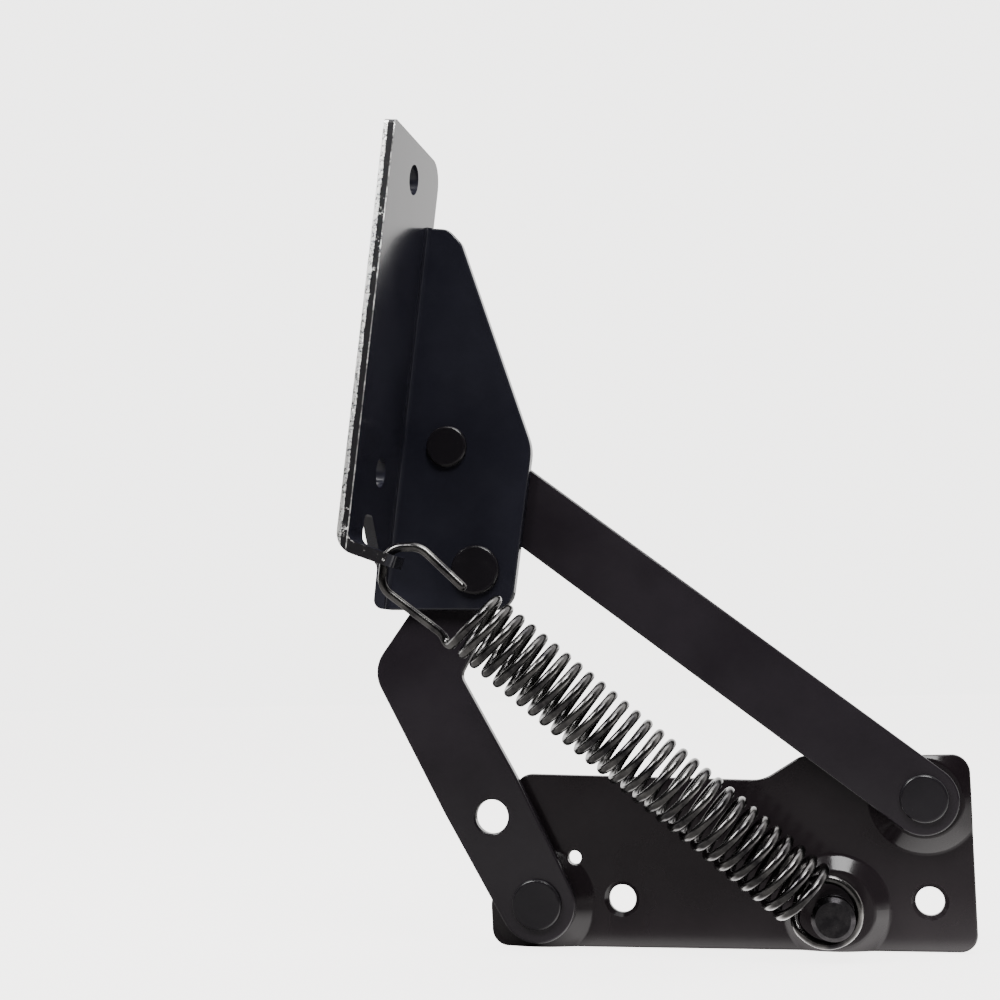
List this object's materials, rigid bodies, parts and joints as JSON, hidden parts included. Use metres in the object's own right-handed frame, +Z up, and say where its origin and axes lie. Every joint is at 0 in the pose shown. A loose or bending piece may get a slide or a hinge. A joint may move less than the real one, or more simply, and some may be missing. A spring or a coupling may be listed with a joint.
{
  "type": "sofa bed hinge",
  "caption": "Right-hand sofa bed hinge: a pressed steel four-bar linkage with an extension spring, shown open, with a base plate and a flanged seat bracket.",
  "frame": {"origin": "midway between the two base screw holes, on the mounting face of the base plate", "axes": "+X along the base plate from the short link's end to the long link's end, +Z up from the plate towards the seat bracket, -Y away from the mounting face towards the viewer"},
  "size_m": [0.1732, 0.0553, 0.2391],
  "materials": {
    "base_coat": "gloss",
    "link_coat": "gloss",
    "bracket_coat": "gloss",
    "rivet_coat": "gloss",
    "pin_steel": "satin",
    "spring_wire": "polished"
  },
  "bodies": {
    "base": {"base_plate": "base_coat", "rivet_base_left": "rivet_coat", "rivet_base_right": "rivet_coat", "spring_pin": "pin_steel"},
    "short_arm": {"short_link": "link_coat"},
    "seat": {"seat_bracket": "bracket_coat", "rivet_seat_lower": "rivet_coat", "rivet_seat_upper": "rivet_coat"},
    "long_arm": {"long_link": "link_coat", "rivet_seat_upper_tail": "rivet_coat"},
    "spring_lower": {"spring_eye": "spring_wire", "spring_coil": "spring_wire"},
    "spring_upper": {"spring_hook": "spring_wire"}
  },
  "joints": [
    {"name": "fold", "type": "hinge", "parent": "base", "child": "short_arm", "pos_m": [-0.06829, -0.0076, -0.00107], "axis": [0, -1, 0], "range_deg": [0, 68], "stiffness_Nm_per_rad": 1.42, "springref_deg": -132.93},
    {"name": "seat_turn", "type": "hinge", "parent": "short_arm", "child": "seat", "pos_m": [-0.08414, -0.0093, 0.09768], "axis": [0, -1, 0], "range_deg": [-153, 0]},
    {"name": "long_arm_turn", "type": "hinge", "parent": "base", "child": "long_arm", "pos_m": [0.04357, -0.0076, 0.02912], "axis": [0, -1, 0], "range_deg": [0, 37]},
    {"name": "spring_swing", "type": "hinge", "parent": "base", "child": "spring_lower", "pos_m": [0.0178, -0.022, -0.0022], "axis": [0, -1, 0], "range_deg": [0, 27.7]},
    {"name": "spring_stretch", "type": "slide", "parent": "spring_lower", "child": "spring_upper", "axis": [-0.7662, 0, 0.6426], "range_m": [0, 0.034], "deforming": ["spring_coil", "spring_hook"]}
  ],
  "couplings": [
    {"joint": "seat_turn", "follows": "fold", "ratio": -2.2488},
    {"joint": "long_arm_turn", "follows": "fold", "ratio": 0.54175},
    {"joint": "spring_swing", "follows": "fold", "ratio": 0.40559},
    {"joint": "spring_stretch", "follows": "fold", "m_per_rad": 0.028471}
  ]
}
